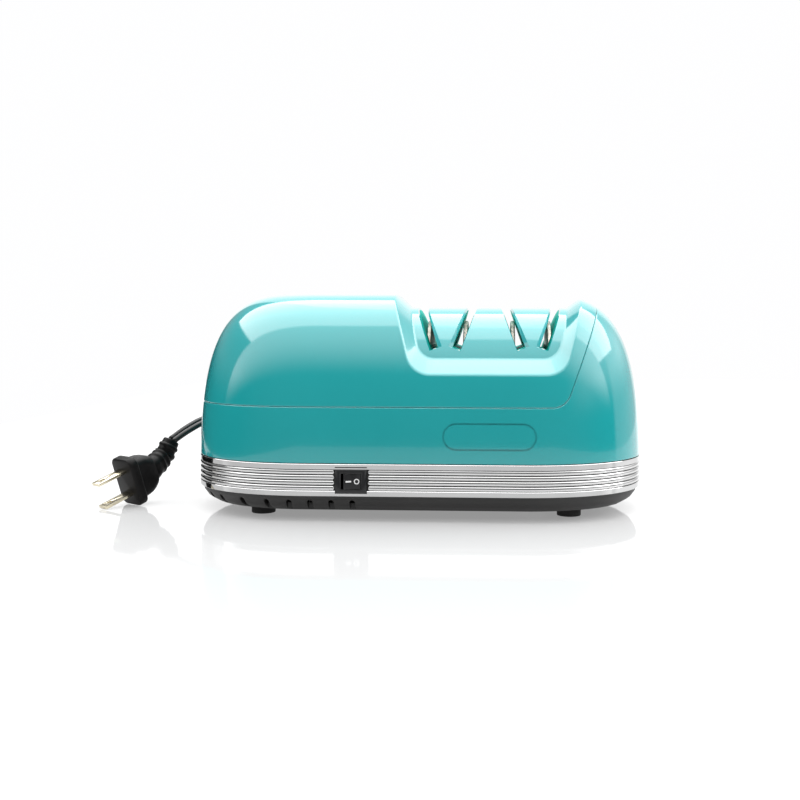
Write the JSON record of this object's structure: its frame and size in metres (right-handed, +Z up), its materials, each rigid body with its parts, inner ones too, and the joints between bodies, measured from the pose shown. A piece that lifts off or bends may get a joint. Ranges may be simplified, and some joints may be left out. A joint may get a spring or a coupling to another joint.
{
  "type": "electric knife sharpener",
  "caption": "Electric knife sharpener with a domed shell, slanted guide slots over abrasive wheels, ribbed trim belt, rocker switch and mains lead.",
  "frame": {"origin": "middle of the footprint on the surface that the sharpener stands on", "axes": "+X along the machine towards the knife slots, -Y out of the front with the switch, +Z up"},
  "size_m": [0.2808, 0.1942, 0.1106],
  "materials": {
    "teal_shell": "gloss moulded, teal",
    "chrome_trim": "bright chrome plate",
    "black_plastic": "fine grained, dark grey",
    "foot_rubber": "soft matte rubber",
    "zinc_steel": "zinc plated",
    "switch_plastic": "satin black",
    "plated_brass": "nickel plated brass",
    "lamination_steel": "stacked laminations, lightly oiled",
    "white_nylon": "natural nylon",
    "copper_wire": "enamelled copper",
    "die_cast": "die cast, tumbled",
    "bright_steel": "ground steel",
    "bronze_bush": "sintered bronze",
    "coarse_abrasive": "coarse grit on a steel disc",
    "fine_abrasive": "fine grit on a steel disc",
    "wire_sheath": "insulated wire",
    "cord_rubber": "smooth black vinyl",
    "plug_vinyl": "satin black vinyl"
  },
  "bodies": {
    "root": {"upper_cover": "teal_shell", "lower_housing": "teal_shell", "trim_belt": "chrome_trim", "base_tray": "black_plastic", "rubber_feet": "foot_rubber", "base_screws": "zinc_steel", "switch_body": "switch_plastic", "switch_terminals": "plated_brass", "stator_core": "lamination_steel", "coil_bobbin": "white_nylon", "coil_winding": "copper_wire", "rear_bracket": "die_cast", "front_bracket": "die_cast", "motor_bolts": "zinc_steel", "motor_cradle": "zinc_steel", "cradle_screws": "zinc_steel", "rear_bush": "bronze_bush", "front_bush": "bronze_bush", "end_bush": "bronze_bush", "end_pedestal": "black_plastic", "pedestal_screws": "zinc_steel", "dust_partition": "black_plastic", "cord_bracket": "black_plastic", "cord_cap": "black_plastic", "clamp_screws": "zinc_steel", "mains_cores": "wire_sheath", "switch_wire": "wire_sheath", "strain_relief": "cord_rubber", "cord_lead": "cord_rubber", "cord_coil": "cord_rubber", "cord_tail": "cord_rubber", "plug_body": "plug_vinyl", "plug_blades": "plated_brass"},
    "drive": {"rotor_core": "lamination_steel", "drive_shaft": "bright_steel", "cooling_fan": "white_nylon", "coarse_wheel_left": "coarse_abrasive", "coarse_wheel_right": "coarse_abrasive", "fine_wheel_left": "fine_abrasive", "fine_wheel_right": "fine_abrasive", "spacer_sleeves": "white_nylon", "shaft_nut": "zinc_steel"},
    "rocker": {"switch_rocker": "switch_plastic"}
  },
  "joints": [
    {"name": "drive_spin", "type": "hinge", "parent": "root", "child": "drive", "pos_m": [0, 0, 0.075], "axis": [1, 0, 0], "continuous": true},
    {"name": "rocker_swing", "type": "hinge", "parent": "root", "child": "rocker", "pos_m": [-0.029, -0.0542, 0.0197], "axis": [0, 0, -1], "range_deg": [0, 20]}
  ]
}
